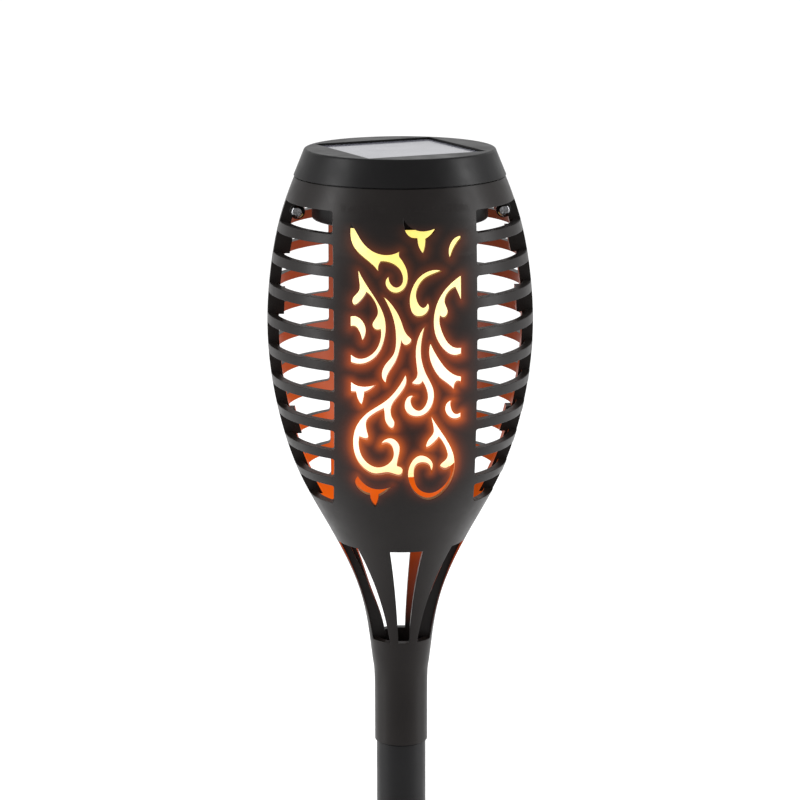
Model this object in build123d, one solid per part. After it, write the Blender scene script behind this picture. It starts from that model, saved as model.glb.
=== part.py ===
from build123d import *
import os
from math import cos, radians, sin

# Solar garden torch with a scroll-cut barrel lantern. Units are millimetres and +Z is up.
# The origin is on the pole's axis at ground level: the spike's flange rests there.
# A "drop" is a distance below the datum plane just under the cap's top. The front of the torch
# faces -Y.

DATUM_Z = 385.0               # height of the datum plane above the ground
WALL = 2.3                    # lantern wall
FIT = 0.05                    # running clearance between a spigot and its bore
SEAM = 0.3                    # gap between parts that meet on the outside

# Lantern skin: (drop, radius) of the outer line, a barrel that runs into a slim neck.
BARREL_LINE = [(7.3, 29.95), (19.7, 34.3), (33.6, 37.0), (51.0, 38.1), (65.2, 37.0), (79.4, 34.1),
               (93.7, 29.2), (108.0, 21.7), (122.5, 14.5), (137.0, 10.15), (151.0, 8.25), (163.0, 7.75)]
SLEEVE_TOP = 143.2            # drops
SLEEVE_END = 175.0
SLEEVE_R = 7.75

# Louvred windows on both flanks
WINDOW_TOP = 13.75            # drop of the first window's top edge
WINDOW_H = 6.05
WINDOW_PITCH = 8.75
WINDOW_COUNT = 10
PANEL_HALF = 19.8             # half-width of the plain front and rear panels
POST_HALF_Y = 2.3             # half-thickness of the side posts that carry the parting line
POST_DEPTH = 3.2
BLOCK_DEPTH = 4.7             # posts are deeper where a locating peg sits
PEG_WINDOWS = (1, 3, 7)       # windows, counted from 0, that have a peg block beside them
PEG_R = 0.8
PEG_LENGTH = 1.8

# Shell screws, one beside each post at the top
SCREW_X = 29.2
SCREW_DROP = 16.95
SCREW_R = 0.95
SCREW_HEAD_R = 1.75
SCREW_HEAD_H = 1.3
FRONT_BOSS_Y = 4.2
REAR_BOSS_Y = 6.5
BOSS_R = 2.15

# Neck slots: the two edges' angles about the axis at each (drop, radius of the skin)
SLOT_TOP = 113.1
SLOT_STATIONS = [(SLOT_TOP, 18.9), (128.0, 12.5), (SLEEVE_TOP, 8.9)]
FRONT_SLOTS = [[(-12.0, 17.0), (-9.9, 14.9), (-7.7, 12.7)],
               [(-43.5, -75.0), (-34.5, -71.5), (-23.5, -68.0)],
               [(48.5, 75.0), (39.5, 71.5), (28.5, 68.0)]]
REAR_SLOTS = [[(-14.5, 14.5), (-12.4, 12.4), (-10.2, 10.2)],
              [(-43.5, -75.0), (-34.5, -71.5), (-23.5, -68.0)],
              [(43.5, 75.0), (34.5, 71.5), (23.5, 68.0)]]

# Posts beside the neck slots: inner face as (drop, radius), deeper at the rear's upper end
FRONT_NECK_POST = [(SLOT_TOP - 2.0, 17.1), (117.0, 14.2), (129.0, 9.15), (138.0, 6.05), (SLEEVE_TOP, 5.1)]
REAR_NECK_POST = [(SLOT_TOP - 2.0, 15.7), (117.0, 12.9), (129.0, 9.0), (138.0, 6.05), (SLEEVE_TOP, 5.1)]
NECK_POST_BAND = 5.2          # wall thickness that the posts are cut from

# Cap
CAP_TOP = -0.5                # drops: the rim stands just above the datum plane
CAP_BOTTOM = 7.0
CAP_TOP_R = 27.1
CAP_BOTTOM_R = 30.15
CAP_CEILING = 4.0
CAP_EDGE_R = 0.8
CAP_BORE_R = 27.2
FLANGE_R = 28.2
FLANGE_TOP = 5.1
PANEL_SIDE = 36.4             # square recess for the solar panel
PANEL_ANGLE = 23.0
PANEL_FLOOR = 1.9
CELL_T = 1.2
COVER_T = 0.6
PANEL_GAP = 0.3

# Plug under the cap
PLUG_R = 25.1
PLUG_WALL = 1.6
PLUG_BOTTOM = 19.4
PLUG_FLOOR_T = 1.8
PLUG_HOLE_R = 18.1
CAP_BOSS_ANGLES = (0, 180, 300)
CORE_SCREW_ANGLES = (30, 150, 240)
BOARD_POST_ANGLES = (53, 127)
RING_R = 21.3                 # radius on which bosses, posts and the switch sit
THREAD_R = 0.9                # small tapping screw

# Bayonet between plug and lantern
LEDGE_TOP = 8.9
LEDGE_BOTTOM = 11.3
LEDGE_R = 25.6
LUG_R = 27.2
LUG_TOP = 11.6
LUG_BOTTOM = 13.1
LUG_ANGLES = (90, 210, 330)
LUG_HALF = 7.0                # degrees
ENTRY_HALF = 9.0
TWIST = 25.0

# Diffuser and the light inside it
DIFFUSER_R = 18.0
DIFFUSER_WALL = 1.2
DIFFUSER_BOTTOM = 93.0
DIFFUSER_CORNER_R = 8.0
DIFFUSER_FLANGE_R = 18.9
DIFFUSER_FLANGE_TOP = 16.7
CORE_DISC_TOP = 15.3
STEM_R = 5.0
STEM_BORE_R = 3.8
STEM_BOTTOM = 84.0
FLEX_T = 0.6
LED_ROWS = 4
LED_COLUMNS = 3
LED_SIZE = (3.4, 1.4, 3.0)    # width, height off the board, length along Z
LED_FIRST = 32.0              # drop of the top row
LED_PITCH = 15.0

# Electronics
BATTERY_R = 5.0
BATTERY_LENGTH = 30.0
BATTERY_DROP = 9.9
BOARD_TOP = 11.3
BOARD_T = 1.2
BOARD_EDGE_Y = 7.6
WIRE_R = 0.45

# Switch under the plug
BUTTON_R = 1.8
BUTTON_TIP = 20.6
BUTTON_FLANGE_R = 2.1
SWITCH_Y = 21.15
SWITCH_SIZE = (6.0, 3.8, 3.3)

# Pole and spike
POLE_R = 7.25
POLE_WALL = 1.4
SPIGOT_R = 5.45
SPIGOT_LENGTH = 26.0
SPIGOT_WALL = 1.2
FERRULE_WALL = 0.85
FERRULE_TOP = 147.2           # drop
POLE_TOP_Z = DATUM_Z - SLEEVE_END
JOINT_Z = 111.0               # where the two pole sections meet
COLLAR_TOP_Z = 12.0
COLLAR_R = 8.6
GROUND_FLANGE_R = 12.5
GROUND_FLANGE_T = 3.0
SPIKE_DEPTH = 115.0
FIN_ROOT = 10.5               # half-span of the fins at the flange
FIN_T = 2.2

# Scroll cut-outs of the front panel. Each motif is a start point and a list of edges;
# an edge is a smooth curve through its points, and edges meet in corners. Points are (x, drop).
SCROLLS = [
    # long hooked stroke, top left
    ((-14.8, 16.6), [
        [(-15.0, 19.5), (-14.3, 22.5), (-12.7, 24.6), (-9.8, 26.9), (-7.6, 29.2)],
        [(-7.4, 27.4), (-6.9, 26.6)],
        [(-4.5, 26.8), (-1.8, 28.5), (-0.9, 30.8), (-1.6, 32.8), (-2.8, 33.3), (-4.2, 32.5), (-4.7, 30.3)],
        [(-5.6, 31.6), (-4.7, 34.2), (-2.9, 35.0), (-0.7, 34.0), (0.4, 31.0), (-0.2, 27.8), (-1.9, 25.1)],
        [(-1.9, 24.3), (-1.6, 23.5)],
        [(-5.2, 24.6), (-8.7, 23.9), (-11.9, 21.3), (-13.9, 18.0), (-14.8, 16.6)]]),
    # winged leaf, top centre
    ((-0.6, 14.9), [
        [(-0.4, 17.4), (0.6, 19.5), (3.2, 20.4)],
        [(3.6, 22.6), (4.7, 24.4)],
        [(5.2, 22.8), (5.4, 20.7)],
        [(7.2, 19.4), (8.4, 17.7)],
        [(6.6, 18.2), (4.6, 18.4), (1.5, 17.4), (-0.6, 14.9)]]),
    # small leaf, top right
    ((15.2, 20.1), [
        [(13.4, 20.7), (12.0, 22.8), (12.2, 25.9)],
        [(13.2, 23.5), (15.2, 21.0)],
        [(15.2, 20.1)]]),
    # open crescent, upper right
    ((10.0, 29.2), [
        [(7.6, 28.8), (3.9, 30.3), (1.3, 34.4), (1.0, 38.4), (2.6, 41.3), (5.0, 41.1), (6.2, 39.0),
         (5.8, 37.8)],
        [(4.4, 38.9), (2.9, 37.2), (3.0, 34.0), (5.1, 31.2), (8.0, 29.9), (10.0, 29.2)]]),
    # wishbone, upper left
    ((-13.0, 29.0), [
        [(-10.8, 32.9), (-8.3, 36.7), (-6.4, 40.5), (-5.7, 44.8), (-6.4, 48.9), (-8.4, 52.7),
         (-11.6, 54.8), (-15.2, 54.6)],
        [(-15.2, 52.2)],
        [(-12.6, 53.2), (-9.1, 51.4), (-7.2, 47.8), (-7.0, 45.0)],
        [(-8.8, 44.8), (-9.3, 43.7), (-8.0, 41.0), (-8.6, 37.4), (-10.9, 34.9)],
        [(-12.2, 37.1), (-14.3, 38.5), (-14.7, 37.2), (-12.9, 34.4), (-12.8, 31.6), (-13.0, 29.0)]]),
    # leaf at the left edge
    ((-15.2, 41.6), [
        [(-13.4, 41.6), (-11.5, 43.7), (-11.2, 46.2), (-12.0, 48.3)],
        [(-12.8, 45.8), (-14.0, 44.5), (-15.2, 44.7)],
        [(-15.2, 41.6)]]),
    # centre stroke with a thorn
    ((-6.3, 35.8), [
        [(-3.6, 38.6), (-1.5, 42.6), (0.2, 46.4), (1.3, 47.9), (0.5, 49.2), (-1.4, 48.0)],
        [(-1.9, 50.5), (-3.4, 54.7), (-5.1, 57.5), (-5.7, 60.1)],
        [(-6.8, 57.5), (-6.0, 54.8), (-3.7, 51.8), (-2.9, 47.5), (-3.4, 42.6), (-5.0, 38.3), (-6.3, 35.8)]]),
    # large barbed crescent at the right edge
    ((15.2, 30.7), [
        [(12.4, 32.6), (9.4, 36.0), (7.6, 41.2), (7.8, 45.8), (10.0, 50.5), (13.0, 52.8), (15.2, 52.6)],
        [(15.2, 50.6)],
        [(12.7, 50.1), (9.8, 46.0), (9.1, 43.0), (9.3, 41.5)],
        [(10.8, 41.9), (11.4, 40.8), (10.6, 38.0), (11.7, 35.2), (13.7, 34.0)],
        [(14.4, 35.5), (15.2, 37.6)],
        [(15.2, 30.7)]]),
    # tall drop with a curled foot
    ((5.1, 43.9), [
        [(3.3, 46.9), (2.5, 51.0), (2.9, 56.0), (2.5, 58.6), (1.5, 60.0), (2.6, 60.6), (4.4, 59.6)],
        [(5.5, 61.7), (5.6, 65.6), (3.4, 67.9), (1.3, 66.2), (2.2, 63.7)],
        [(0.7, 63.6), (-0.5, 66.0), (0.9, 69.3), (4.5, 69.7), (7.1, 66.8), (7.3, 61.8), (5.3, 57.4),
         (4.0, 52.8), (4.2, 47.8), (5.1, 43.9)]]),
    # sickle running to the right edge
    ((6.5, 48.9), [
        [(6.2, 51.2), (7.4, 55.9), (9.8, 59.4), (12.2, 61.4), (13.2, 62.6)],
        [(13.4, 61.2), (13.9, 60.5), (15.2, 60.6)],
        [(15.2, 58.8)],
        [(12.9, 57.9), (9.6, 54.5), (7.3, 50.6), (6.5, 48.9)]]),
    # half winged leaf at the left edge
    ((-15.2, 60.0), [
        [(-13.2, 61.0), (-10.6, 61.0), (-8.3, 60.3)],
        [(-9.8, 62.0), (-11.6, 63.0)],
        [(-11.9, 65.2), (-12.3, 66.7)],
        [(-13.3, 65.0), (-13.7, 63.1)],
        [(-15.2, 63.1)],
        [(-15.2, 60.0)]]),
    # small crescent at the right edge
    ((12.8, 65.3), [
        [(11.0, 66.6), (11.0, 68.8), (13.0, 71.2), (15.2, 71.0)],
        [(15.2, 69.2)],
        [(13.6, 69.5), (12.4, 67.8), (12.8, 65.3)]]),
    # large spiral with two thorns, lower left
    ((-0.4, 57.6), [
        [(-0.2, 60.4), (-2.3, 63.9), (-4.1, 66.7), (-4.2, 69.4), (-3.3, 71.8), (-3.8, 73.3), (-5.5, 71.7),
         (-6.0, 69.0), (-6.2, 67.5)],
        [(-8.5, 68.9), (-11.0, 71.6), (-10.9, 74.2), (-10.5, 76.3), (-12.9, 76.3)],
        [(-13.1, 78.8), (-11.5, 83.0), (-8.0, 85.0), (-5.0, 83.9), (-3.4, 80.8), (-4.3, 78.2), (-7.0, 78.2)],
        [(-6.4, 76.9), (-4.3, 76.0), (-2.1, 77.9), (-2.0, 81.4), (-2.5, 84.5)],
        [(-0.9, 85.9), (-1.3, 87.5), (-4.5, 87.0), (-8.2, 87.5), (-12.3, 85.2), (-14.5, 79.5), (-13.9, 73.3),
         (-10.3, 68.3), (-6.0, 65.2), (-2.4, 61.2), (-0.4, 57.6)]]),
    # forked stroke with a ring, lower right
    ((6.9, 69.9), [
        [(9.5, 74.2), (12.2, 78.9), (13.8, 84.5), (13.0, 89.7), (10.2, 93.9), (6.8, 95.5), (3.4, 93.9),
         (1.0, 89.6), (1.1, 84.3), (3.8, 81.4), (6.4, 82.4), (7.6, 85.2), (7.0, 87.0)],
        [(5.6, 84.1), (3.3, 84.3), (2.3, 88.0), (4.0, 92.1), (7.2, 93.3), (10.6, 91.5), (12.6, 87.8),
         (12.4, 85.8)],
        [(10.6, 86.1), (9.6, 85.0), (11.3, 83.0), (11.1, 79.4), (9.1, 76.3)],
        [(7.8, 78.0), (5.7, 79.2), (5.9, 77.2), (7.5, 74.8), (7.4, 72.0), (6.9, 69.9)]]),
    # winged leaf, bottom left
    ((-13.3, 88.2), [
        [(-14.0, 90.2), (-12.2, 93.1), (-9.8, 94.0)],
        [(-9.4, 96.1), (-8.2, 97.9)],
        [(-7.6, 96.0), (-7.4, 94.2)],
        [(-5.6, 92.8), (-3.6, 90.6)],
        [(-6.3, 91.8), (-9.4, 91.7), (-12.0, 90.0), (-13.3, 88.2)]]),
]


def level(drop):
    """Height above the ground of a point this far below the datum plane."""
    return DATUM_Z - drop


def polar(radius, angle):
    """X and Y of a point on a circle about the axis."""
    return radius * cos(radians(angle)), radius * sin(radians(angle))


def disc(radius, top_drop, bottom_drop):
    """Solid cylinder on the axis between two drops."""
    body = Cylinder(radius, bottom_drop - top_drop, align=(Align.CENTER, Align.CENTER, Align.MIN))
    return Pos(0, 0, level(bottom_drop)) * body


def ring(outer, inner, top_drop, bottom_drop):
    """Ring on the axis between two drops."""
    return disc(outer, top_drop, bottom_drop) - disc(inner, top_drop - 1, bottom_drop + 1)


def post(radius, x, y, top_drop, bottom_drop):
    """Upright cylinder at x, y between two drops."""
    return Pos(x, y, 0) * disc(radius, top_drop, bottom_drop)


def block(x, y, top_drop, bottom_drop):
    """Box given by its X span, Y span and two drops."""
    size = (x[1] - x[0], y[1] - y[0], bottom_drop - top_drop)
    centre = ((x[0] + x[1]) / 2, (y[0] + y[1]) / 2, level((top_drop + bottom_drop) / 2))
    return Pos(*centre) * Box(*size)


def sector(radius, angle, half_angle, top_drop, bottom_drop):
    """Wedge about the axis, from the axis out to a radius."""
    reach = radius / cos(radians(half_angle))
    corners = [(0, 0), polar(reach, angle - half_angle), polar(reach, angle + half_angle)]
    wedge = extrude(make_face(Polyline(*corners, close=True)), bottom_drop - top_drop)
    return (Pos(0, 0, level(bottom_drop)) * wedge) & disc(radius, top_drop, bottom_drop)


def along_y(face, near, far):
    """Prism of a face drawn as (x, height), from y = near to y = far."""
    return extrude(Plane(origin=(0, far, 0), x_dir=(1, 0, 0), z_dir=(0, -1, 0)) * face, far - near)


def tube_along_y(radius, x, drop, near, far):
    """Cylinder parallel to Y."""
    return along_y(Pos(x, level(drop)) * Circle(radius), near, far)


def outer_line():
    """The lantern's outer line in the plane of radius and height."""
    points = [(r, level(d)) for d, r in BARREL_LINE]
    return Spline(*points, tangents=[(0.42, -1), (0, -1)])


def skin(inset):
    """Half section of the lantern wall from its outer line to a line inset from it."""
    outer = outer_line()
    inner = []
    steps = len(BARREL_LINE) + 1
    for i in range(steps):
        t = 0.86 * i / (steps - 1)
        point = outer @ t
        slope = outer % t
        inner.append((point.X + inset * slope.Y, point.Y - inset * slope.X))
    bore = SPIGOT_R + FIT + FERRULE_WALL + 0.02
    foot = level(SLEEVE_END)
    edges = [outer, Line(outer @ 1, (SLEEVE_R, foot)), Line((SLEEVE_R, foot), (bore, foot)),
             Line((bore, foot), (bore, level(FERRULE_TOP))), Line((bore, level(FERRULE_TOP)), inner[-1]),
             Spline(*inner), Line(inner[0], outer @ 0)]
    return make_face(edges)


def turned(face):
    """Body of revolution of a face drawn as (radius, height)."""
    return revolve(Plane.XZ * face, Axis.Z)


def scroll(start, edges):
    """Closed outline of one cut-out."""
    here = (start[0], level(start[1]))
    lines = []
    for edge in edges:
        points = [here] + [(x, level(d)) for x, d in edge]
        lines.append(Spline(*points) if len(points) > 2 else Line(*points))
        here = points[-1]
    return make_face(lines)


def scroll_cuts():
    """The whole cut-out pattern of one panel, as prisms through the front wall."""
    cuts = [along_y(scroll(start, edges), -45, -6) for start, edges in SCROLLS]
    return cuts


def window_cuts():
    """Louvre windows of the front half, both flanks."""
    outside = BARREL_LINE[3][1] + 12
    width = outside - PANEL_HALF
    cuts = []
    for i in range(WINDOW_COUNT):
        centre = level(WINDOW_TOP + WINDOW_H / 2 + i * WINDOW_PITCH)
        for side in (-1, 1):
            face = Pos(side * (PANEL_HALF + width / 2), centre) * RectangleRounded(width, WINDOW_H, 0.7)
            cuts.append(along_y(face, -60, -POST_HALF_Y))
    return cuts


def slot_face(edge_angles):
    """Neck slot outline from the angles of its two edges, drawn as (x, height)."""
    first = []
    second = []
    for (drop, radius), (first_angle, second_angle) in zip(SLOT_STATIONS, edge_angles):
        first.append((radius * sin(radians(first_angle)), level(drop)))
        second.append((radius * sin(radians(second_angle)), level(drop)))
    return make_face([Spline(*first), Line(first[-1], second[-1]), Spline(*second),
                      Line(second[0], first[0])])


def neck_cuts(slots):
    """Neck slots of one half."""
    return [along_y(slot_face(edge_angles), -40, -POST_HALF_Y) for edge_angles in slots]


def skin_radius(drop):
    """Outer radius of the lantern at a drop, read between the stations of its line."""
    for (d0, r0), (d1, r1) in zip(BARREL_LINE, BARREL_LINE[1:]):
        if d0 <= drop <= d1:
            return r0 + (r1 - r0) * (drop - d0) / (d1 - d0)
    return SLEEVE_R


def neck_core(line):
    """Space inside the neck posts, turned from their inner line."""
    curve = Spline(*[(radius, level(drop)) for drop, radius in line])
    top = (0, level(line[0][0]))
    foot = (0, level(line[-1][0]))
    return turned(make_face([curve, Line(curve @ 1, foot), Line(foot, top), Line(top, curve @ 0)]))


def post_ribs(neck_line):
    """Ribs behind the side posts of one half."""
    last = WINDOW_TOP + (WINDOW_COUNT - 1) * WINDOW_PITCH + WINDOW_H
    barrel_zone = block((-50, 50), (-POST_HALF_Y, 0), LEDGE_BOTTOM, last + 1) - disc(15, 0, 200)
    neck_zone = block((-50, 50), (-POST_HALF_Y, 0), neck_line[0][0], neck_line[-1][0])
    neck_ribs = (turned(skin(NECK_POST_BAND)) & neck_zone) - neck_core(neck_line)
    return (turned(skin(POST_DEPTH)) & barrel_zone) + neck_ribs


def peg_sites():
    """(x, drop) of every locating peg."""
    sites = []
    for i in PEG_WINDOWS:
        drop = WINDOW_TOP + WINDOW_H / 2 + i * WINDOW_PITCH
        for side in (-1, 1):
            sites.append((side * (skin_radius(drop) - 2.6), drop))
    return sites


def peg_blocks():
    """Deeper blocks on the posts that carry the locating pegs."""
    band = turned(skin(BLOCK_DEPTH))
    blocks = []
    for i in PEG_WINDOWS:
        top = WINDOW_TOP + i * WINDOW_PITCH - 0.6
        zone = block((-50, 50), (-POST_HALF_Y, 0), top, top + WINDOW_H + 1.2)
        blocks.append(band & (zone - disc(15, 0, 200)))
    return blocks


def ledge():
    """Bayonet ledge inside the lantern's mouth, with entry gaps and stops. Whole ring."""
    body = ring(skin_radius(LEDGE_TOP) - 1.2, LEDGE_R, LEDGE_TOP, LEDGE_BOTTOM)
    for angle in LUG_ANGLES:
        gap = sector(LUG_R + 0.5, angle, ENTRY_HALF, LEDGE_TOP - 1, LEDGE_BOTTOM + 1)
        stop_angle = angle + TWIST + LUG_HALF + 3
        stop = sector(LUG_R + 0.4, stop_angle, 1.5, LEDGE_BOTTOM - 0.2, LUG_BOTTOM)
        body = body - gap + (stop - disc(LEDGE_R + 0.4, 0, 30))
    return body


def half_blank(slots, neck_line):
    """One half of the lantern, facing -Y, before pegs and bosses: wall, windows, scrolls, neck and posts."""
    front = block((-60, 60), (-60, 0), 0, 200)
    shell = turned(skin(WALL)) & front
    for cut in window_cuts() + scroll_cuts() + neck_cuts(slots):
        shell -= cut
    shell += post_ribs(neck_line)
    for piece in peg_blocks():
        shell += piece
    return shell


def make_lantern_halves():
    """Front and rear shells, parted at y = 0."""
    front_ledge = ledge() & block((-60, 60), (-60, 0), 0, 30)
    rear_ledge = ledge() & block((-60, 60), (0, 60), 0, 30)
    front = half_blank(FRONT_SLOTS, FRONT_NECK_POST) + front_ledge
    rear = Rot(0, 0, 180) * half_blank(REAR_SLOTS, REAR_NECK_POST) + rear_ledge
    for side in (-1, 1):
        x = side * SCREW_X
        front += tube_along_y(BOSS_R, x, SCREW_DROP, -FRONT_BOSS_Y, 0)
        front -= tube_along_y(SCREW_R + 0.15, x, SCREW_DROP, -20, 1)
        rear += tube_along_y(BOSS_R, x, SCREW_DROP, 0, REAR_BOSS_Y)
        rear -= tube_along_y(SCREW_R + 0.02, x, SCREW_DROP, -1, REAR_BOSS_Y - 0.8)
    for x, drop in peg_sites():
        front += tube_along_y(PEG_R, x, drop, -1, PEG_LENGTH)
        rear -= tube_along_y(PEG_R + FIT, x, drop, -1, PEG_LENGTH + 0.2)
    return front, rear


def cross_recess(radius, depth):
    """Cross-shaped driver recess, sunk from z = 0 downwards."""
    arm = Box(2 * radius, 0.5, depth, align=(Align.CENTER, Align.CENTER, Align.MAX))
    return arm + Rot(0, 0, 90) * arm


def pan_screw(shank_r, length, head_r, head_h):
    """Pan-head screw, head seat at z = 0, head above."""
    head = Cylinder(head_r, head_h, align=(Align.CENTER, Align.CENTER, Align.MIN))
    head = fillet(head.edges().group_by(Axis.Z)[-1], head_h * 0.55)
    shank = Cylinder(shank_r, length, align=(Align.CENTER, Align.CENTER, Align.MAX))
    tip = chamfer(shank.edges().group_by(Axis.Z)[0], shank_r * 0.45)
    return head + tip - Pos(0, 0, head_h + 0.01) * cross_recess(head_r * 0.55, head_h * 0.5)


def make_shell_screws():
    screw = pan_screw(SCREW_R, 9.0, SCREW_HEAD_R, SCREW_HEAD_H)
    return [Pos(side * SCREW_X, -FRONT_BOSS_Y, level(SCREW_DROP)) * Rot(90, 0, 0) * screw for side in (-1, 1)]


def make_neck_ferrule():
    """Closed-top socket inside the neck that takes the pole's spigot."""
    outer = SPIGOT_R + FIT + FERRULE_WALL
    body = disc(outer, FERRULE_TOP, SLEEVE_END)
    return body - disc(SPIGOT_R + FIT, FERRULE_TOP + 1.5, SLEEVE_END + 1)


def cap_bosses():
    """Screw bosses hanging from the cap's ceiling."""
    bosses = None
    for angle in CAP_BOSS_ANGLES:
        x, y = polar(RING_R, angle)
        boss = post(2.0, x, y, CAP_CEILING - 0.5, PLUG_BOTTOM - PLUG_FLOOR_T - 0.05)
        boss -= post(THREAD_R + 0.02, x, y, CAP_CEILING + 2.5, PLUG_BOTTOM)
        bosses = boss if bosses is None else bosses + boss
    return bosses


def square_prism(side, top_drop, bottom_drop):
    """Upright square prism, turned as the solar panel is."""
    prism = Box(side, side, bottom_drop - top_drop)
    return Pos(0, 0, level((top_drop + bottom_drop) / 2)) * Rot(0, 0, PANEL_ANGLE) * prism


def make_cap_shell():
    body = Pos(0, 0, level(CAP_BOTTOM)) * Cone(CAP_BOTTOM_R, CAP_TOP_R, CAP_BOTTOM - CAP_TOP,
                                               align=(Align.CENTER, Align.CENTER, Align.MIN))
    body = fillet(body.edges().group_by(Axis.Z)[-1], CAP_EDGE_R)
    body -= disc(CAP_BORE_R, CAP_CEILING, CAP_BOTTOM + 1)
    body -= disc(FLANGE_R + 0.1, FLANGE_TOP, CAP_BOTTOM + 1)
    body -= square_prism(PANEL_SIDE, CAP_TOP - 1, PANEL_FLOOR)
    body -= post(2.0, 0, 12.0, CAP_TOP, 6)
    return body + cap_bosses()


def make_cap_plug():
    """Cup that closes the cap, carries the bayonet lugs and holds the light."""
    floor_top = PLUG_BOTTOM - PLUG_FLOOR_T
    body = disc(PLUG_R, FLANGE_TOP + 0.1, PLUG_BOTTOM)
    body = fillet(body.edges().group_by(Axis.Z)[0], 0.6)
    body += disc(FLANGE_R, FLANGE_TOP + 0.1, CAP_BOTTOM - 0.1)
    body -= disc(PLUG_R - PLUG_WALL, 0, floor_top)
    body -= disc(PLUG_HOLE_R, 0, 30)
    for angle in LUG_ANGLES:
        body += sector(LUG_R, angle, LUG_HALF, LUG_TOP, LUG_BOTTOM) - disc(PLUG_R - 0.8, 0, 30)
    for angle in CORE_SCREW_ANGLES:
        x, y = polar(RING_R, angle)
        body += post(1.9, x, y, DIFFUSER_FLANGE_TOP + 0.05, floor_top + 0.2)
        body -= post(THREAD_R + 0.02, x, y, 0, PLUG_BOTTOM - 0.6)
    for angle in BOARD_POST_ANGLES:
        x, y = polar(RING_R, angle)
        body += post(1.3, x, y, BOARD_TOP + BOARD_T, floor_top + 0.2)
    for angle in CAP_BOSS_ANGLES:
        x, y = polar(RING_R, angle)
        body -= post(THREAD_R + 0.15, x, y, 0, 30)
        body -= post(1.9, x, y, PLUG_BOTTOM - 1.0, 30)
    return body - post(BUTTON_R + FIT, 0, SWITCH_Y, 15, 30)


def make_cap_screws():
    screw = pan_screw(THREAD_R, 8.0, 1.75, 0.9)
    seat = level(PLUG_BOTTOM - 1.0)
    return [Pos(*polar(RING_R, angle), seat) * Rot(180, 0, 0) * screw for angle in CAP_BOSS_ANGLES]


def make_core_screws():
    screw = pan_screw(THREAD_R, 3.2, 1.75, 1.1)
    return [Pos(*polar(RING_R, angle), level(CORE_DISC_TOP)) * screw for angle in CORE_SCREW_ANGLES]


def make_solar_cell():
    return square_prism(PANEL_SIDE - 2 * PANEL_GAP, PANEL_FLOOR - CELL_T, PANEL_FLOOR)


def make_solar_cover():
    top = PANEL_FLOOR - CELL_T - COVER_T
    return square_prism(PANEL_SIDE - 2 * PANEL_GAP, top, PANEL_FLOOR - CELL_T)


def make_cap_seal():
    """Round-section seal between the plug's flange and the lantern's ledge."""
    section_r = (LEDGE_TOP - CAP_BOTTOM) / 2 - 0.1
    section = Pos(PLUG_R + section_r + 0.15, level((CAP_BOTTOM - 0.1 + LEDGE_TOP) / 2)) * Circle(section_r)
    return turned(section)


def make_diffuser():
    """Frosted cup with a flange at its mouth and a rounded foot."""
    def cup(radius, foot, corner):
        body = disc(radius, DIFFUSER_FLANGE_TOP, foot)
        return fillet(body.edges().group_by(Axis.Z)[0], corner)
    inner = cup(DIFFUSER_R - DIFFUSER_WALL, DIFFUSER_BOTTOM - DIFFUSER_WALL,
                DIFFUSER_CORNER_R - DIFFUSER_WALL)
    flange = disc(DIFFUSER_FLANGE_R, DIFFUSER_FLANGE_TOP, PLUG_BOTTOM - PLUG_FLOOR_T)
    return cup(DIFFUSER_R, DIFFUSER_BOTTOM, DIFFUSER_CORNER_R) + flange - inner


def make_led_stem():
    """Tube that carries the lights, with the disc that clamps the diffuser."""
    body = disc(DIFFUSER_FLANGE_R, CORE_DISC_TOP, DIFFUSER_FLANGE_TOP - 0.05)
    for angle in CORE_SCREW_ANGLES:
        x, y = polar(RING_R, angle)
        ear = post(1.9, x, y, CORE_DISC_TOP, DIFFUSER_FLANGE_TOP - 0.05)
        bridge_x, bridge_y = polar(RING_R - 2.5, angle)
        body += ear + post(1.9, bridge_x, bridge_y, CORE_DISC_TOP, DIFFUSER_FLANGE_TOP - 0.05)
        body -= post(THREAD_R + 0.15, x, y, 0, 30)
    body += disc(STEM_R, CORE_DISC_TOP, STEM_BOTTOM)
    for side in (-1, 1):
        body -= post(WIRE_R + 0.25, side * 1.4, BOARD_EDGE_Y + 1.2, 0, 30)
    return body - disc(STEM_BORE_R, DIFFUSER_FLANGE_TOP, STEM_BOTTOM + 1)


def make_led_board():
    """Flexible circuit wrapped round the stem, with an open seam at the rear."""
    top = DIFFUSER_FLANGE_TOP + 4
    wrap = ring(STEM_R + FLEX_T, STEM_R + 0.02, top, STEM_BOTTOM - 1)
    return wrap - block((-0.6, 0.6), (0, 10), 0, 120)


def make_leds():
    """Twelve lights on the flexible circuit, each column stepped down from the last."""
    width, height, length = LED_SIZE
    lights = []
    for row in range(LED_ROWS):
        for column in range(LED_COLUMNS):
            angle = 30 + 360 * column / LED_COLUMNS
            drop = LED_FIRST + row * LED_PITCH + column * LED_PITCH / LED_COLUMNS
            body = Pos(STEM_R + FLEX_T + height / 2 - 0.35, 0, 0) * Box(height, width, length)
            body -= Cylinder(STEM_R + FLEX_T + 0.01, length + 1)
            lights.append(Pos(0, 0, level(drop)) * Rot(0, 0, angle) * body)
    return lights


def wire(points, bend):
    """Insulated wire along straight runs joined by arcs."""
    path = FilletPolyline(*points, radius=bend)
    section = Plane(origin=path @ 0, z_dir=path % 0) * Circle(WIRE_R)
    return sweep(section, path)


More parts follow.
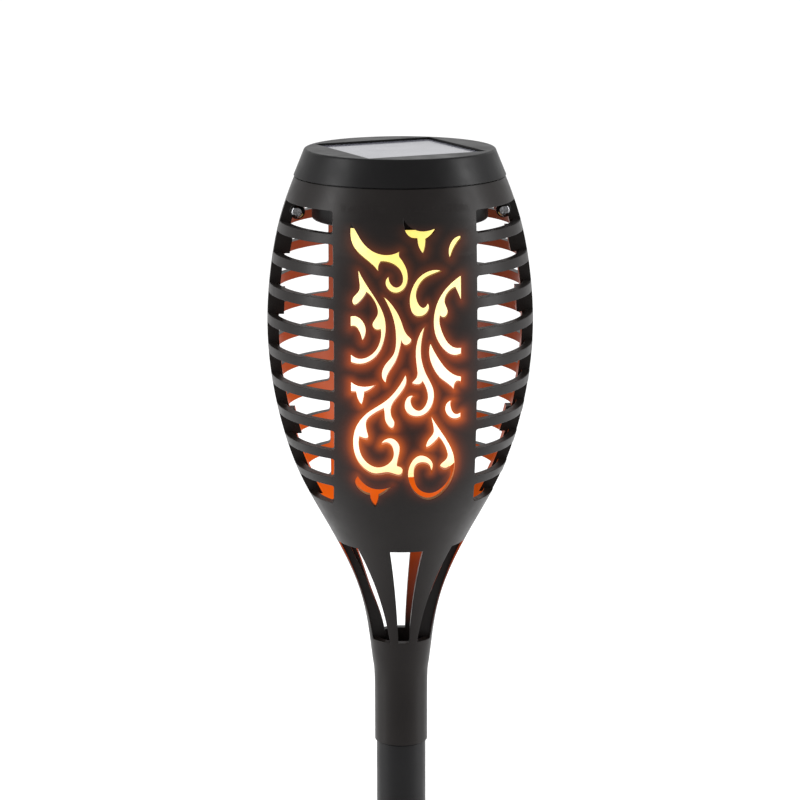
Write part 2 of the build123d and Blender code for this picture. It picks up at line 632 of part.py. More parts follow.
def make_led_leads():
    """Pair of wires from the circuit board down to the flexible circuit."""
    y_top = BOARD_EDGE_Y + 1.2
    y_low = STEM_R + FLEX_T + WIRE_R + 0.1
    heights = [level(BOARD_TOP + BOARD_T), level(20.0), level(26.0), level(31.0)]
    leads = []
    for side in (-1, 1):
        x = side * 1.4
        points = [(x, y_top, heights[0]), (x, y_top, heights[1]),
                  (x, y_low, heights[2]), (x, y_low, heights[3])]
        leads.append(wire(points, 5.0))
    return leads


def make_solar_leads():
    """Pair of straight wires from the solar cell down to the circuit board."""
    return [post(WIRE_R, side * 0.9, 12.0, PANEL_FLOOR, BOARD_TOP) for side in (-1, 1)]


def make_circuit_board():
    """Crescent board beside the battery, resting on the plug's two posts."""
    body = disc(PLUG_R - PLUG_WALL - 0.5, BOARD_TOP, BOARD_TOP + BOARD_T)
    body &= block((-15.5, 15.5), (BOARD_EDGE_Y, 30), 0, 30)
    return body


def make_controller_chip():
    body = block((-3.0, 3.0), (14.0, 18.0), BOARD_TOP - 1.5, BOARD_TOP)
    return chamfer(body.edges().group_by(Axis.Z)[-1], 0.25)


def make_charge_coil():
    """Drum inductor: two flanges and a waist."""
    x, y = -8.0, 11.5
    drum = post(3.0, x, y, BOARD_TOP - 4.0, BOARD_TOP)
    waist = post(2.3, x, y, BOARD_TOP - 4.0, BOARD_TOP)
    return drum - (post(3.5, x, y, BOARD_TOP - 3.2, BOARD_TOP - 0.8) - waist)


def make_capacitor():
    body = post(2.5, 8.5, 11.5, BOARD_TOP - 5.4, BOARD_TOP)
    return fillet(body.edges().group_by(Axis.Z)[-1], 0.5)


def along_x(radius, start, end):
    """Cylinder on the battery's axis, between two X values."""
    body = Rot(0, 90, 0) * Cylinder(radius, end - start)
    return Pos((start + end) / 2, 0, level(BATTERY_DROP)) * body


def make_battery():
    half = BATTERY_LENGTH / 2
    can = along_x(BATTERY_R, -half, half - 1.2)
    can = fillet(can.edges(), 0.5)
    return can + along_x(1.7, half - 1.7, half)


def make_battery_tray():
    """Side rails and end walls that hold the battery on the stem's disc."""
    half = BATTERY_LENGTH / 2 + 1.6
    outer = block((-half - 1.2, half + 1.2), (-6.6, 6.6), 9.0, CORE_DISC_TOP - 0.05)
    return outer - block((-half, half), (-5.4, 5.4), 0, 30)


def make_battery_contact(side):
    """Bent strip between the battery's end and the tray, with a tail that reaches the board."""
    near = BATTERY_LENGTH / 2 + 0.25
    far = BATTERY_LENGTH / 2 + 1.5
    plate_x = sorted((side * (far - 0.4), side * far))
    dimple_x = sorted((side * near, side * far))
    tail_x = sorted((side * (far - 3.0), side * far))
    plate = block(plate_x, (-3.2, 9.2), 6.4, 8.7)
    plate += block(plate_x, (-3.2, 3.2), 6.4, 13.0)
    plate += along_x(1.2, *dimple_x)
    plate += block((plate_x[0], plate_x[1]), (8.0, 9.2), 6.4, BOARD_TOP)
    return plate + block(tail_x, (8.0, 9.2), BOARD_TOP - 0.4, BOARD_TOP)


def make_switch_body():
    """Push switch under the circuit board, above the plug's floor."""
    width, depth, height = SWITCH_SIZE
    top = BOARD_TOP + BOARD_T
    return block((-width / 2, width / 2), (SWITCH_Y - depth / 2, SWITCH_Y + depth / 2), top, top + height)


def make_switch_button():
    """Round button that comes through the plug's floor."""
    floor_top = PLUG_BOTTOM - PLUG_FLOOR_T
    body = post(BUTTON_R, 0, SWITCH_Y, floor_top - 0.4, BUTTON_TIP)
    body = fillet(body.edges().group_by(Axis.Z)[0], 0.5)
    return body + post(BUTTON_FLANGE_R, 0, SWITCH_Y, floor_top - 0.65, floor_top - 0.05)


def turned_at(radius, low, high):
    """Upright cylinder on the axis between two heights."""
    return Pos(0, 0, low) * Cylinder(radius, high - low, align=(Align.CENTER, Align.CENTER, Align.MIN))


def make_pole(low, high):
    """Pole section: tube with a socket below and a spigot above."""
    body = turned_at(POLE_R, low, high - SEAM)
    body += turned_at(SPIGOT_R, high - SEAM - 4, high + SPIGOT_LENGTH)
    body = chamfer(body.edges().group_by(Axis.Z)[-1], 0.8)
    body -= turned_at(SPIGOT_R + FIT, low - 1, low + SPIGOT_LENGTH + 2)
    body -= turned_at(POLE_R - POLE_WALL, low + SPIGOT_LENGTH + 4, high - 6)
    return body - turned_at(SPIGOT_R - SPIGOT_WALL, low, high + SPIGOT_LENGTH + 1)


def fin_profile():
    """Side view of one pair of fins, from the flange to the point."""
    tip = -SPIKE_DEPTH
    right = [(FIN_ROOT, 0), (FIN_ROOT * 0.62, tip * 0.5), (FIN_ROOT * 0.38, tip * 0.85), (0.6, tip)]
    left = [(-x, z) for x, z in reversed(right)]
    return make_face(Polyline(*right, *left, close=True))


def make_ground_spike():
    """Cross-shaped stake with a ground flange, a collar and the spigot for the pole."""
    fin = extrude(Plane.XZ * fin_profile(), FIN_T / 2, both=True)
    body = fin + Rot(0, 0, 90) * fin
    core = Cone(3.4, 0.6, SPIKE_DEPTH, align=(Align.CENTER, Align.CENTER, Align.MIN))
    body += Rot(180, 0, 0) * core
    flange = turned_at(GROUND_FLANGE_R, 0, GROUND_FLANGE_T)
    body += fillet(flange.edges().group_by(Axis.Z)[-1], 1.0)
    body += turned_at(COLLAR_R, GROUND_FLANGE_T - 0.5, COLLAR_TOP_Z - SEAM)
    spigot = turned_at(SPIGOT_R, COLLAR_TOP_Z - 4, COLLAR_TOP_Z + SPIGOT_LENGTH)
    body += chamfer(spigot.edges().group_by(Axis.Z)[-1], 0.8)
    return body - turned_at(SPIGOT_R - SPIGOT_WALL, COLLAR_TOP_Z - 2, COLLAR_TOP_Z + SPIGOT_LENGTH + 1)


def save(name, shape):
    """Write one node; a list of solids becomes one compound."""
    if isinstance(shape, list):
        shape = Compound(children=shape)
    export_step(shape, f"parts/{name}.step")


def main():
    os.makedirs("parts", exist_ok=True)
    front, rear = make_lantern_halves()
    save("lantern_front", front)
    save("lantern_rear", rear)
    save("shell_screws", make_shell_screws())
    save("neck_ferrule", make_neck_ferrule())
    save("cap_shell", make_cap_shell())
    save("cap_plug", make_cap_plug())
    save("cap_seal", make_cap_seal())
    save("cap_screws", make_cap_screws())
    save("core_screws", make_core_screws())
    save("solar_cell", make_solar_cell())
    save("solar_cover", make_solar_cover())
    save("solar_leads", make_solar_leads())
    save("diffuser", make_diffuser())
    save("led_stem", make_led_stem())
    save("led_board", make_led_board())
    save("leds", make_leds())
    save("led_leads", make_led_leads())
    save("circuit_board", make_circuit_board())
    save("controller_chip", make_controller_chip())
    save("charge_coil", make_charge_coil())
    save("capacitor", make_capacitor())
    save("battery", make_battery())
    save("battery_tray", make_battery_tray())
    save("contact_positive", make_battery_contact(1))
    save("contact_negative", make_battery_contact(-1))
    save("switch_body", make_switch_body())
    save("switch_button", make_switch_button())
    save("upper_pole", make_pole(JOINT_Z, POLE_TOP_Z))
    save("lower_pole", make_pole(COLLAR_TOP_Z, JOINT_Z))
    save("ground_spike", make_ground_spike())


main()
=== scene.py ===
import bpy
import bmesh
import math
from mathutils import Matrix, Vector, kdtree


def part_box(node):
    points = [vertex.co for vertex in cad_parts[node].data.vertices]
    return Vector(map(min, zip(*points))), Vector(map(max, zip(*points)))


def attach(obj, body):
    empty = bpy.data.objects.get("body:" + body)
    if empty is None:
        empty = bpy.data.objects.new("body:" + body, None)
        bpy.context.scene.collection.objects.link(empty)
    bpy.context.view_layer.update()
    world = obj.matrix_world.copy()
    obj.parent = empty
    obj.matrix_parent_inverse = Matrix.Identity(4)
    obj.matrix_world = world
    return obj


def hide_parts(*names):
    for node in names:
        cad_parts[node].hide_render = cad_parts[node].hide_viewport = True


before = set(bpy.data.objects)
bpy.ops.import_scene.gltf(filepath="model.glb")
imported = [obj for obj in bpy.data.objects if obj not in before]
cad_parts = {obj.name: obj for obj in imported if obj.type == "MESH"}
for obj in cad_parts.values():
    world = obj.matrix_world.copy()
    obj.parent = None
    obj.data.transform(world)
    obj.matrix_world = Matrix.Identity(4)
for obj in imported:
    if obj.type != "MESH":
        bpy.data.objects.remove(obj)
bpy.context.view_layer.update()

MM = 0.001
DATUM_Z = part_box("cap_shell")[1].z - 0.5 * MM       # drops are measured down from here, in mm
PANEL_X = 17.5 * MM           # half-width of the patterned part of each panel
PANEL_TOP = 12.5 * MM         # drops between which the pattern lies
PANEL_FOOT = 100.0 * MM
GRID = 0.7 * MM               # spacing of the extra vertices that carry the painted light round the cut-outs
CELL_TURN = -23.0             # degrees, the solar cell's turn in the cap
LINE_PITCH = 0.9 * MM         # half the spacing of the cell's silver fingers
PAINTED_LIGHT_REACH = 8.0 * MM         # farther than this from a cut-out there's no painted light
SHEEN = 0.10                  # specular level of the dark plastics
PLASTIC_ROUGH = (0.34, 0.44)
SHARP_ANGLE = math.radians(30)
SKIN_MATCH = 0.9              # least agreement between a face and the skin's exact normal
CAMERA_DISTANCE = 790 * MM
CAMERA_RISE = 99.3 * MM       # above the datum plane
CAMERA_TURN = math.radians(2.7)       # to the left of the front
CAMERA_SWING = math.radians(0.008)
CAMERA_PITCH = math.radians(12.283)   # downwards
CAMERA_ROLL = math.radians(-0.13)
STRIP_SIZE = (0.35, 1.4)      # side lights, in metres
STRIP_POWER = 24


# ---------------------------------------------------------------- node helpers

def new_material(name):
    material = bpy.data.materials.new(name)
    material.use_nodes = True
    material.node_tree.nodes.clear()
    return material, material.node_tree


def add(tree, kind, **values):
    """New node; keyword arguments are properties of the node."""
    node = tree.nodes.new(kind)
    for key, value in values.items():
        setattr(node, key, value)
    return node


def feed(tree, socket, value):
    """Link an output socket to an input, or set the input to a constant."""
    if hasattr(value, "links"):
        tree.links.new(value, socket)
    else:
        socket.default_value = value


def finish_material(tree, shader):
    output = add(tree, "ShaderNodeOutputMaterial")
    feed(tree, output.inputs["Surface"], shader.outputs["BSDF"])


def position(tree):
    """Object coordinates: every object sits at the origin, so these are metres in the row frame."""
    return add(tree, "ShaderNodeTexCoord").outputs["Object"]


def parts_of(tree, vector):
    """The x, y and z outputs of a vector."""
    node = add(tree, "ShaderNodeSeparateXYZ")
    feed(tree, node.inputs["Vector"], vector)
    return node.outputs


def arithmetic(tree, operation, first, second=0.0):
    node = add(tree, "ShaderNodeMath", operation=operation)
    feed(tree, node.inputs[0], first)
    feed(tree, node.inputs[1], second)
    return node.outputs[0]


def vector_math(tree, operation, first, second, output="Value"):
    node = add(tree, "ShaderNodeVectorMath", operation=operation)
    feed(tree, node.inputs[0], first)
    feed(tree, node.inputs[1], second)
    return node.outputs[output]


def noise(tree, scale, detail=2.0, stretch=(1, 1, 1)):
    mapping = add(tree, "ShaderNodeMapping")
    mapping.inputs["Scale"].default_value = stretch
    feed(tree, mapping.inputs["Vector"], position(tree))
    texture = add(tree, "ShaderNodeTexNoise")
    texture.inputs["Scale"].default_value = scale
    texture.inputs["Detail"].default_value = detail
    feed(tree, texture.inputs["Vector"], mapping.outputs["Vector"])
    return texture.outputs["Fac"]


def spread(tree, source, low, high, start=0.0, end=1.0):
    """Map a value from start..end to low..high."""
    node = add(tree, "ShaderNodeMapRange")
    node.inputs["From Min"].default_value = start
    node.inputs["From Max"].default_value = end
    node.inputs["To Min"].default_value = low
    node.inputs["To Max"].default_value = high
    feed(tree, node.inputs["Value"], source)
    return node.outputs["Result"]


def ramp(tree, source, stops):
    """Colour ramp from (place, colour) pairs; a colour may be one number for a grey."""
    node = add(tree, "ShaderNodeValToRGB")
    elements = node.color_ramp.elements
    while len(elements) < len(stops):
        elements.new(0.5)
    for element, (place, colour) in zip(elements, stops):
        element.position = place
        element.color = (*colour, 1.0) if isinstance(colour, tuple) else (colour, colour, colour, 1.0)
    feed(tree, node.inputs["Fac"], source)
    return node.outputs["Color"]


def by_drop(tree, stops):
    """Colour ramp over the drop below the datum plane; stops are (drop in mm, colour)."""
    first = stops[0][0] * MM
    last = stops[-1][0] * MM
    height = parts_of(tree, position(tree))["Z"]
    place = spread(tree, height, 0.0, 1.0, DATUM_Z - first, DATUM_Z - last)
    return ramp(tree, place, [((drop * MM - first) / (last - first), colour) for drop, colour in stops])


def tint(tree, colour, amount):
    """A colour times a number or another colour."""
    return vector_math(tree, "MULTIPLY", colour, amount, "Vector")


def total(tree, first, second):
    return vector_math(tree, "ADD", first, second, "Vector")


def soft_edges(tree, radius):
    """Shading normal with the edges rounded to a radius."""
    node = add(tree, "ShaderNodeBevel", samples=4)
    node.inputs["Radius"].default_value = radius
    return node.outputs["Normal"]


def bump(tree, height, strength, distance, normal=None):
    node = add(tree, "ShaderNodeBump")
    node.inputs["Strength"].default_value = strength
    node.inputs["Distance"].default_value = distance
    feed(tree, node.inputs["Height"], height)
    if normal is not None:
        feed(tree, node.inputs["Normal"], normal)
    return node.outputs["Normal"]


def principled(tree, **values):
    """Principled shader; keyword names are socket names with _ for spaces."""
    node = add(tree, "ShaderNodeBsdfPrincipled")
    for key, value in values.items():
        feed(tree, node.inputs[key.replace("_", " ")], value)
    return node


# ---------------------------------------------------------------- plastics

def plastic_look(tree, dark, light, rough):
    """Colour, roughness and normal of satin moulded plastic: fine grain, slow drift, uneven gloss."""
    colour = ramp(tree, noise(tree, 60.0, 3.0), [(0.3, dark), (0.7, light)])
    roughness = spread(tree, noise(tree, 180.0, 3.0), rough[0], rough[1], 0.3, 0.7)
    normal = bump(tree, noise(tree, 2600.0, 2.0), 0.25, 0.012 * MM, soft_edges(tree, 0.3 * MM))
    return colour, roughness, normal


def moulded_plastic(name, dark, light, rough=PLASTIC_ROUGH):
    material, tree = new_material(name)
    colour, roughness, normal = plastic_look(tree, dark, light, rough)
    shader = principled(tree, Base_Color=colour, Roughness=roughness, Normal=normal, Specular_IOR_Level=SHEEN)
    finish_material(tree, shader)
    return material


def painted_wall_light(tree):
    """Painted lamp light: emission on the walls that face the axis, strongest under the diffuser, with
    painted shade making it weaker at +X.
    """
    outward = vector_math(tree, "MULTIPLY", position(tree), (1, 1, 0), "Vector")
    outward = vector_math(tree, "NORMALIZE", outward, (0, 0, 0), "Vector")
    facing = vector_math(tree, "DOT_PRODUCT", add(tree, "ShaderNodeNewGeometry").outputs["Normal"], outward)
    facing = spread(tree, facing, 0.0, 1.0, -0.25, -0.9)
    lamp = by_drop(tree, [(10, (0.0, 0.0, 0.0)), (16, (0.10, 0.016, 0.006)), (30, (0.22, 0.034, 0.012)),
                          (55, (0.30, 0.045, 0.014)), (72, (0.42, 0.060, 0.008)), (85, (0.55, 0.070, 0.003)),
                          (96, (0.62, 0.080, 0.002)), (104, (0.80, 0.105, 0.001)),
                          (110, (0.70, 0.085, 0.001)), (116, (0.35, 0.040, 0.001)),
                          (124, (0.14, 0.016, 0.001)), (142, (0.0, 0.0, 0.0))])
    # painted shade: the painted wall light falls to half towards +X
    shade = spread(tree, parts_of(tree, position(tree))["X"], 1.0, 0.5, 12 * MM, 20 * MM)
    facing = arithmetic(tree, "MULTIPLY", facing, shade)
    return tint(tree, lamp, facing)


def painted_rim_light(tree):
    """Painted light: emission standing for the lamp light that spills over the rims of the cut-outs, a hot
    line, then a red-brown haze.
    """
    distance = add(tree, "ShaderNodeAttribute", attribute_name="cut_distance").outputs["Fac"]
    near = ramp(tree, distance, [(0.0, 1.0), (0.0375, 0.85), (0.075, 0.6), (0.125, 0.33), (0.2, 0.12),
                                 (0.28, 0.0)])
    haze = ramp(tree, distance, [(0.0, 1.0), (0.1, 0.85), (0.2, 0.60), (0.28, 0.37), (0.36, 0.22),
                                 (0.45, 0.12), (0.6, 0.05), (1.0, 0.0)])
    hot = by_drop(tree, [(16, (0.0, 0.0, 0.0)), (23, (0.03, 0.003, 0.0)), (41, (0.08, 0.008, 0.0)),
                         (53, (0.17, 0.020, 0.0)), (66, (0.25, 0.040, 0.0)), (80, (0.28, 0.055, 0.002)),
                         (86, (0.20, 0.035, 0.0)), (91, (0.05, 0.005, 0.0)), (98, (0.0, 0.0, 0.0))])
    warm = by_drop(tree, [(16, (0.0, 0.0, 0.0)), (23, (0.055, 0.012, 0.002)), (41, (0.075, 0.014, 0.003)),
                          (53, (0.19, 0.029, 0.004)), (66, (0.24, 0.034, 0.002)), (80, (0.28, 0.040, 0.001)),
                          (86, (0.15, 0.018, 0.0)), (91, (0.04, 0.005, 0.0)), (98, (0.0, 0.0, 0.0))])
    return total(tree, tint(tree, hot, near), tint(tree, warm, haze))


def lantern_plastic(name):
    """Charcoal shell plastic with the lamp's light painted as emission on its inner walls and round its
    cut-outs.
    """
    material, tree = new_material(name)
    colour, roughness, normal = plastic_look(tree, (0.0062, 0.0050, 0.0047), (0.0082, 0.0068, 0.0064),
                                             PLASTIC_ROUGH)
    # painted light: lamp light on the inner walls and round the cut-outs, given as emission
    painted_light = total(tree, painted_wall_light(tree), painted_rim_light(tree))
    shader = principled(tree, Base_Color=colour, Roughness=roughness, Normal=normal, Emission_Color=painted_light,
                        Emission_Strength=1.0, Specular_IOR_Level=SHEEN)
    finish_material(tree, shader)
    return material


# ---------------------------------------------------------------- other materials

def bright_metal(name, colour, rough=(0.16, 0.3)):
    material, tree = new_material(name)
    shade = ramp(tree, noise(tree, 900.0, 4.0), [(0.3, tuple(0.8 * c for c in colour)), (0.7, colour)])
    roughness = spread(tree, noise(tree, 1500.0, 3.0), rough[0], rough[1], 0.3, 0.7)
    shader = principled(tree, Base_Color=shade, Metallic=1.0, Roughness=roughness,
                        Normal=soft_edges(tree, 0.12 * MM))
    finish_material(tree, shader)
    return material


def lit_diffuser(name):
    """Frosted plastic lit by the flickering lights inside: yellow at the top, white-hot below."""
    material, tree = new_material(name)
    colour = by_drop(tree, [(17, (0.70, 0.56, 0.11)), (28, (0.74, 0.58, 0.13)), (45, (0.84, 0.64, 0.26)),
                            (57, (0.95, 0.68, 0.46)), (68, (1.0, 0.74, 0.54)), (84, (1.0, 0.74, 0.50)),
                            (93, (0.90, 0.55, 0.22))])
    frost = spread(tree, noise(tree, 900.0, 3.0), 0.93, 1.04, 0.3, 0.7)
    roughness = spread(tree, noise(tree, 300.0, 2.0), 0.42, 0.55, 0.3, 0.7)
    shader = principled(tree, Base_Color=(0.30, 0.26, 0.18, 1), Roughness=roughness,
                        Emission_Color=tint(tree, colour, frost), Emission_Strength=1.55)
    finish_material(tree, shader)
    return material


def solar_face(name):
    """Dark cell with fine silver fingers under its clear layer."""
    material, tree = new_material(name)
    mapping = add(tree, "ShaderNodeMapping")
    mapping.inputs["Rotation"].default_value = (0, 0, math.radians(CELL_TURN))
    feed(tree, mapping.inputs["Vector"], position(tree))
    along = parts_of(tree, mapping.outputs["Vector"])["Y"]
    finger = arithmetic(tree, "PINGPONG", along, LINE_PITCH)
    lines = spread(tree, finger, 1.0, 0.0, 0.0, 0.12 * MM)
    colour = ramp(tree, lines, [(0.0, (0.05, 0.05, 0.10)), (1.0, (0.5, 0.5, 0.55))])
    shader = principled(tree, Base_Color=colour, Roughness=0.25)
    finish_material(tree, shader)
    return material


def plain_gloss(name, dark, light, rough=(0.25, 0.4), grain=120.0):
    """Moulded or coated small part with a little drift in tone and gloss."""
    material, tree = new_material(name)
    colour = ramp(tree, noise(tree, grain, 4.0), [(0.3, dark), (0.7, light)])
    roughness = spread(tree, noise(tree, 2.5 * grain, 2.0), rough[0], rough[1], 0.3, 0.7)
    shader = principled(tree, Base_Color=colour, Roughness=roughness, Normal=soft_edges(tree, 0.15 * MM))
    finish_material(tree, shader)
    return material


def paint(material, *nodes):
    """Give CAD nodes one material in every slot."""
    for node in nodes:
        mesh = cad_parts[node].data
        mesh.materials.clear()
        mesh.materials.append(material)


# ---------------------------------------------------------------- lantern halves

def in_pattern(point, side):
    """True for a point in the patterned part of the front (side -1) or rear (side 1) panel."""
    drop = DATUM_Z - point.z
    return abs(point.x) < PANEL_X and point.y * side > 0 and PANEL_TOP < drop < PANEL_FOOT


def refine_panel(body, side):
    """Cut the patterned panel into a fine grid, so that its vertices can carry the painted light."""
    faces = [f for f in body.faces if in_pattern(f.calc_center_median(), side)]
    edges = {e for f in faces for e in f.edges}
    verts = {v for f in faces for v in f.verts}
    geometry = list(verts) + list(edges) + faces
    columns = int(PANEL_X / GRID)
    rows = int((PANEL_FOOT - PANEL_TOP) / GRID)
    planes = [(Vector((k * GRID, 0, 0)), Vector((1, 0, 0))) for k in range(-columns, columns + 1)]
    planes += [(Vector((0, 0, DATUM_Z - PANEL_TOP - k * GRID)), Vector((0, 0, 1))) for k in range(rows)]
    for place, normal in planes:
        cut = bmesh.ops.bisect_plane(body, geom=geometry, plane_co=place, plane_no=normal, dist=1e-6)
        geometry = cut["geom"]


def cut_rims(body, side):
    """Rim edges of the cut-outs on the outer face, as flat (x, z) segments."""
    rims = []
    for edge in body.edges:
        if len(edge.link_faces) != 2 or not in_pattern(edge.verts[0].co, side):
            continue
        outward = [f.normal.y * side for f in edge.link_faces]
        if max(outward) > 0.6 and abs(min(outward)) < 0.2:
            rims.append([Vector((v.co.x, v.co.z)) for v in edge.verts])
    return rims


def distance_to(point, start, end):
    """Distance of a flat point from a segment."""
    run = end - start
    along = 0.0 if run.length == 0 else max(0.0, min(1.0, (point - start).dot(run) / run.length_squared))
    return (start + run * along - point).length


def write_painted_light_distance(mesh, rims, side):
    """Vertex attribute: distance to the nearest cut-out, as a fraction of the painted light's reach."""
    tree = kdtree.KDTree(len(rims))
    for index, (start, end) in enumerate(rims):
        middle = (start + end) / 2
        tree.insert((middle.x, 0, middle.y), index)
    tree.balance()
    attribute = mesh.attributes.new("cut_distance", "FLOAT", "POINT")
    for vertex in mesh.vertices:
        value = 1.0
        if vertex.co.y * side > 0 and abs(vertex.co.x) < PANEL_X + PAINTED_LIGHT_REACH:
            flat = Vector((vertex.co.x, vertex.co.z))
            near = tree.find_n((flat.x, 0, flat.y), 4)
            value = min(distance_to(flat, *rims[index]) for _, index, _ in near) / PAINTED_LIGHT_REACH
        attribute.data[vertex.index].value = min(1.0, value)


def skin_slopes(mesh):
    """Smooth normals of the turned skin as (height, radial part, z part), outer and inner."""
    tables = {1: [], -1: []}
    normals = mesh.corner_normals
    for loop in mesh.loops:
        place = mesh.vertices[loop.vertex_index].co
        normal = normals[loop.index].vector
        outward = Vector((place.x, place.y, 0)).normalized()
        radial = normal.dot(outward)
        if abs(radial) > 0.5 and abs(normal.cross(outward).z) < 0.02:
            tables[1 if radial > 0 else -1].append((place.z, radial, normal.z))
    for table in tables.values():
        table.sort()
    return tables


def slope_profile(table):
    """Average (radial part, z part) of a table's normals at each millimetre of height."""
    bins = {}
    for height, radial, upward in table:
        bins.setdefault(round(height / MM), []).append((radial, upward))
    return {key: [sum(part) / len(values) for part in zip(*values)] for key, values in bins.items()}


def slope_at(profile, height):
    """Radial and z parts of the skin's normal at a height, read between two bins."""
    low = math.floor(height / MM)
    share = height / MM - low
    below = profile.get(low) or profile.get(low + 1)
    above = profile.get(low + 1) or below
    if below is None:
        return None
    return [b + (a - b) * share for b, a in zip(below, above)]


def smooth_skin(mesh, profiles):
    """Give the turned skin its exact normals, so that the extra vertices don't show as facets."""
    normals = [corner.vector.copy() for corner in mesh.corner_normals]
    for polygon in mesh.polygons:
        centre = Vector((polygon.center.x, polygon.center.y, 0)).normalized()
        radial = polygon.normal.dot(centre)
        if abs(radial) < 0.4 or abs(polygon.normal.cross(centre).z) > 0.12:
            continue
        profile = profiles[1 if radial > 0 else -1]
        for loop_index in polygon.loop_indices:
            place = mesh.vertices[mesh.loops[loop_index].vertex_index].co
            slope = slope_at(profile, place.z)
            if slope is None:
                continue
            outward = Vector((place.x, place.y, 0)).normalized() * slope[0]
            exact = Vector((outward.x, outward.y, slope[1])).normalized()
            if exact.dot(polygon.normal) > SKIN_MATCH:
                normals[loop_index] = exact
    mesh.normals_split_custom_set(normals)


def make_shell(node, side, material):
    """Lantern half for show: the CAD shape with the extra vertices that carry the painted light."""
    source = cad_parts[node].data
    profiles = {facing: slope_profile(table) for facing, table in skin_slopes(source).items()}
    body = bmesh.new()
    body.from_mesh(source)
    bmesh.ops.remove_doubles(body, verts=body.verts, dist=1e-6)
    refine_panel(body, side)
    body.normal_update()
    rims = cut_rims(body, side)
    mesh = bpy.data.meshes.new(node + "_shell")
    body.to_mesh(mesh)
    body.free()
    mesh.attributes.remove(mesh.attributes["custom_normal"])
    mesh.polygons.foreach_set("use_smooth", [True] * len(mesh.polygons))
    mesh.set_sharp_from_angle(angle=SHARP_ANGLE)
    smooth_skin(mesh, profiles)
    write_painted_light_distance(mesh, rims, side)
    mesh.materials.clear()
    mesh.materials.append(material)
    shell = bpy.data.objects.new(node + "_shell", mesh)
    bpy.context.scene.collection.objects.link(shell)
    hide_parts(node)
    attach(shell, "lantern")


# ---------------------------------------------------------------- scene

def make_floor():
    mesh = bpy.data.meshes.new("floor")
    body = bmesh.new()
    bmesh.ops.create_grid(body, x_segments=8, y_segments=8, size=20.0)
    body.to_mesh(mesh)
    body.free()
    floor = bpy.data.objects.new("floor", mesh)
    bpy.context.scene.collection.objects.link(floor)
    material, tree = new_material("pale_floor")
    shader = principled(tree, Base_Color=(0.92, 0.92, 0.92, 1), Roughness=0.9, Emission_Color=(1, 1, 1, 1),
                        Emission_Strength=0.12)
    finish_material(tree, shader)
    mesh.materials.append(material)


def area_light(name, place, target, size, power):
    data = bpy.data.lights.new(name, "AREA")
    data.shape = "RECTANGLE"
    data.size, data.size_y = size
    data.energy = power
    light = bpy.data.objects.new(name, data)
    light.location = place
    light.rotation_euler = (Vector(target) - Vector(place)).to_track_quat("-Z", "Y").to_euler()
    bpy.context.scene.collection.objects.link(light)


def make_lights():
    world = bpy.data.worlds.new("studio")
    world.use_nodes = True
    world.node_tree.nodes["Background"].inputs["Color"].default_value = (1, 1, 1, 1)
    world.node_tree.nodes["Background"].inputs["Strength"].default_value = 1.0
    bpy.context.scene.world = world
    middle = (0, 0, DATUM_Z - 60 * MM)
    for name, side in (("key_left", -1), ("key_right", 1)):
        area_light(name, (1.25 * side, -0.2, DATUM_Z + 0.2), middle, STRIP_SIZE, STRIP_POWER)


def make_camera():
    """Long lens, a little above the rim, aimed down at the barrel."""
    data = bpy.data.cameras.new("camera")
    data.lens = 126
    data.sensor_width = 36
    camera = bpy.data.objects.new("camera", data)
    place = Vector((-CAMERA_DISTANCE * math.sin(CAMERA_TURN), -CAMERA_DISTANCE * math.cos(CAMERA_TURN),
                    DATUM_Z + CAMERA_RISE))
    heading = Matrix.Rotation(CAMERA_SWING - CAMERA_TURN, 4, "Z")
    pitch = Matrix.Rotation(math.radians(90) - CAMERA_PITCH, 4, "X")
    roll = Matrix.Rotation(CAMERA_ROLL, 4, "Z")
    camera.matrix_world = Matrix.Translation(place) @ heading @ pitch @ roll
    bpy.context.scene.collection.objects.link(camera)
    bpy.context.scene.camera = camera


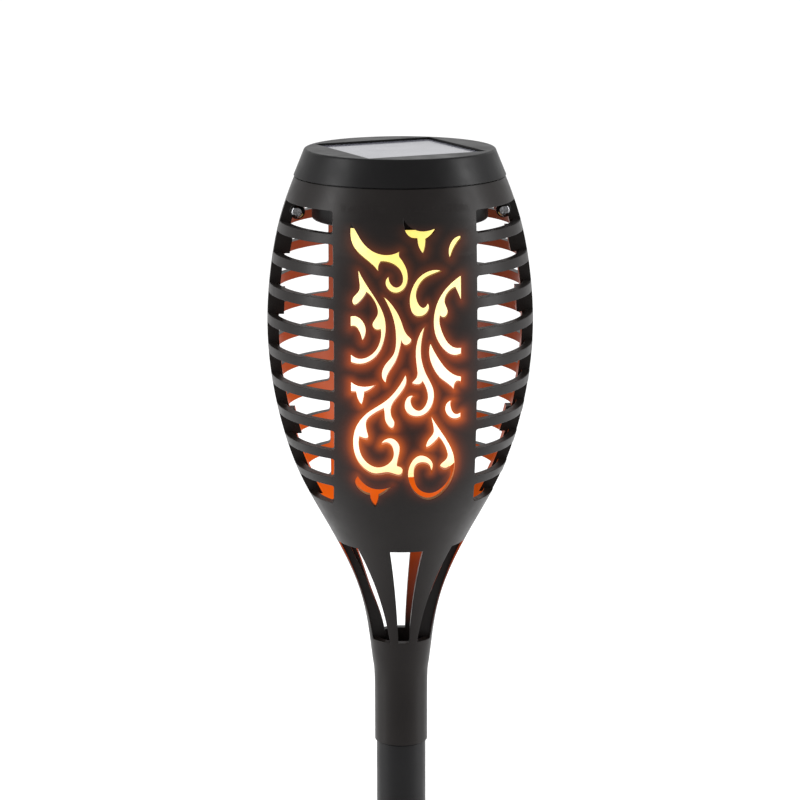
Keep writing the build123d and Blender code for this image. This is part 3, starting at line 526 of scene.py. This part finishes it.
def dress_body():
    """Materials of everything seen from outside."""
    shell = lantern_plastic("shell_charcoal")
    make_shell("lantern_front", -1, shell)
    make_shell("lantern_rear", 1, shell)
    paint(moulded_plastic("cap_black", (0.0028, 0.0026, 0.0028), (0.0042, 0.0040, 0.0042)),
          "cap_shell", "cap_plug")
    paint(moulded_plastic("pole_black", (0.0046, 0.0044, 0.0048), (0.0062, 0.0060, 0.0064)),
          "upper_pole", "lower_pole", "ground_spike", "neck_ferrule")
    paint(moulded_plastic("button_black", (0.008, 0.008, 0.008), (0.012, 0.012, 0.012), (0.5, 0.6)),
          "switch_button")
    paint(bright_metal("screw_zinc", (0.15, 0.15, 0.155), (0.08, 0.15)),
          "shell_screws", "cap_screws", "core_screws")
    paint(lit_diffuser("diffuser_lit"), "diffuser")
    paint(solar_face("solar_cell_face"), "solar_cell")
    paint(plain_gloss("cover_resin", (0.10, 0.10, 0.125), (0.12, 0.12, 0.145), (0.10, 0.16), 40.0),
          "solar_cover")
    paint(plain_gloss("seal_silicone", (0.02, 0.02, 0.02), (0.03, 0.03, 0.03), (0.5, 0.65)), "cap_seal")


def dress_inside():
    """Materials of the pieces inside the cap and the diffuser."""
    paint(plain_gloss("stem_white", (0.72, 0.72, 0.70), (0.80, 0.80, 0.78), (0.35, 0.5)), "led_stem")
    paint(plain_gloss("flex_mask", (0.74, 0.74, 0.70), (0.82, 0.82, 0.79), (0.25, 0.35)), "led_board")
    paint(plain_gloss("led_lens", (1.0, 0.62, 0.18), (1.0, 0.70, 0.26), (0.12, 0.2)), "leds")
    paint(plain_gloss("wire_red", (0.40, 0.02, 0.015), (0.50, 0.03, 0.02)), "solar_leads", "led_leads")
    paint(plain_gloss("board_green", (0.015, 0.14, 0.05), (0.025, 0.20, 0.07), (0.2, 0.3), 300.0),
          "circuit_board")
    paint(plain_gloss("epoxy_black", (0.012, 0.012, 0.013), (0.02, 0.02, 0.021), (0.45, 0.6), 600.0),
          "controller_chip", "charge_coil", "switch_body")
    paint(bright_metal("can_aluminium", (0.78, 0.78, 0.80), (0.25, 0.4)), "capacitor")
    paint(plain_gloss("battery_sleeve", (0.05, 0.22, 0.09), (0.07, 0.28, 0.12), (0.15, 0.25)), "battery")
    paint(moulded_plastic("tray_black", (0.012, 0.012, 0.013), (0.017, 0.017, 0.018), (0.45, 0.55)),
          "battery_tray")
    paint(bright_metal("contact_nickel", (0.76, 0.73, 0.66)), "contact_positive", "contact_negative")


def main():
    make_floor()
    make_lights()
    make_camera()
    bpy.context.scene.view_settings.view_transform = "Standard"
    dress_body()
    dress_inside()


main()
bpy.context.view_layer.update()
